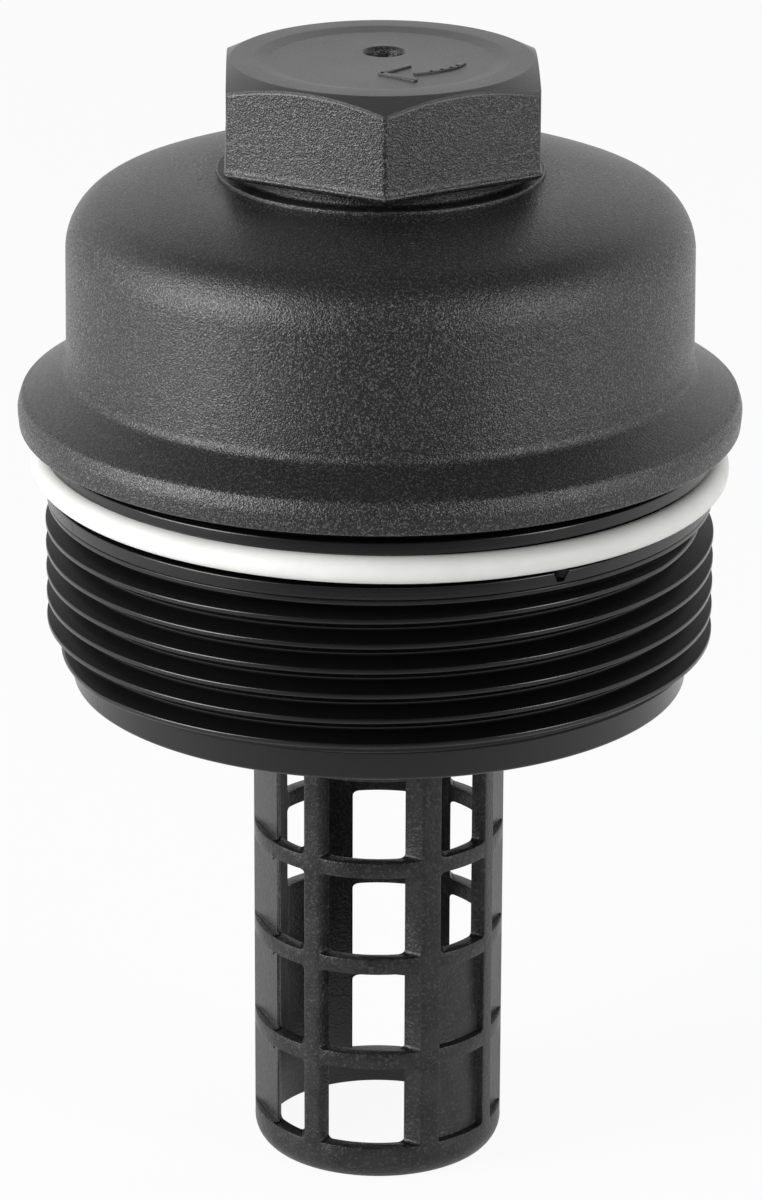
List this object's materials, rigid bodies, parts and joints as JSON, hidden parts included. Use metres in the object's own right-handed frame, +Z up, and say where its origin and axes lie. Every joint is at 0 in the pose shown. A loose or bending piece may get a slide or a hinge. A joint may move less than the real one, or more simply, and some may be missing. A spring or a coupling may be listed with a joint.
{
  "type": "oil filter housing cap",
  "caption": "Screw-in oil filter housing cap with hexagon head, domed body, flange, seal ring, coarse outside thread and slotted centre tube with bypass valve.",
  "frame": {"origin": "centre of the centre tube's open lower end, on the plane of its foot", "axes": "+Z up the common axis to the hexagon; -Y is the pictured side, where one hexagon corner points; +X to the picture's right"},
  "size_m": [0.0856, 0.0854, 0.1362],
  "materials": {
    "cap_plastic": "spark-eroded grain, glass-filled nylon",
    "seal_rubber": "satin off-white",
    "tube_plastic": "satin, slightly mottled",
    "valve_plastic": "satin",
    "spring_steel": "drawn wire"
  },
  "bodies": {
    "cap": {"housing_cap": "cap_plastic", "seal_ring": "seal_rubber", "support_cage": "tube_plastic", "spring_retainer": "tube_plastic", "valve_spring": "spring_steel"},
    "bypass_valve": {"valve_disc": "valve_plastic"}
  },
  "joints": [
    {"name": "bypass_lift", "type": "slide", "parent": "cap", "child": "bypass_valve", "axis": [0, 0, -1], "range_m": [0, 0.004], "stiffness_N_per_m": 8, "springref_m": -0.003, "deforming": ["valve_spring"]}
  ]
}
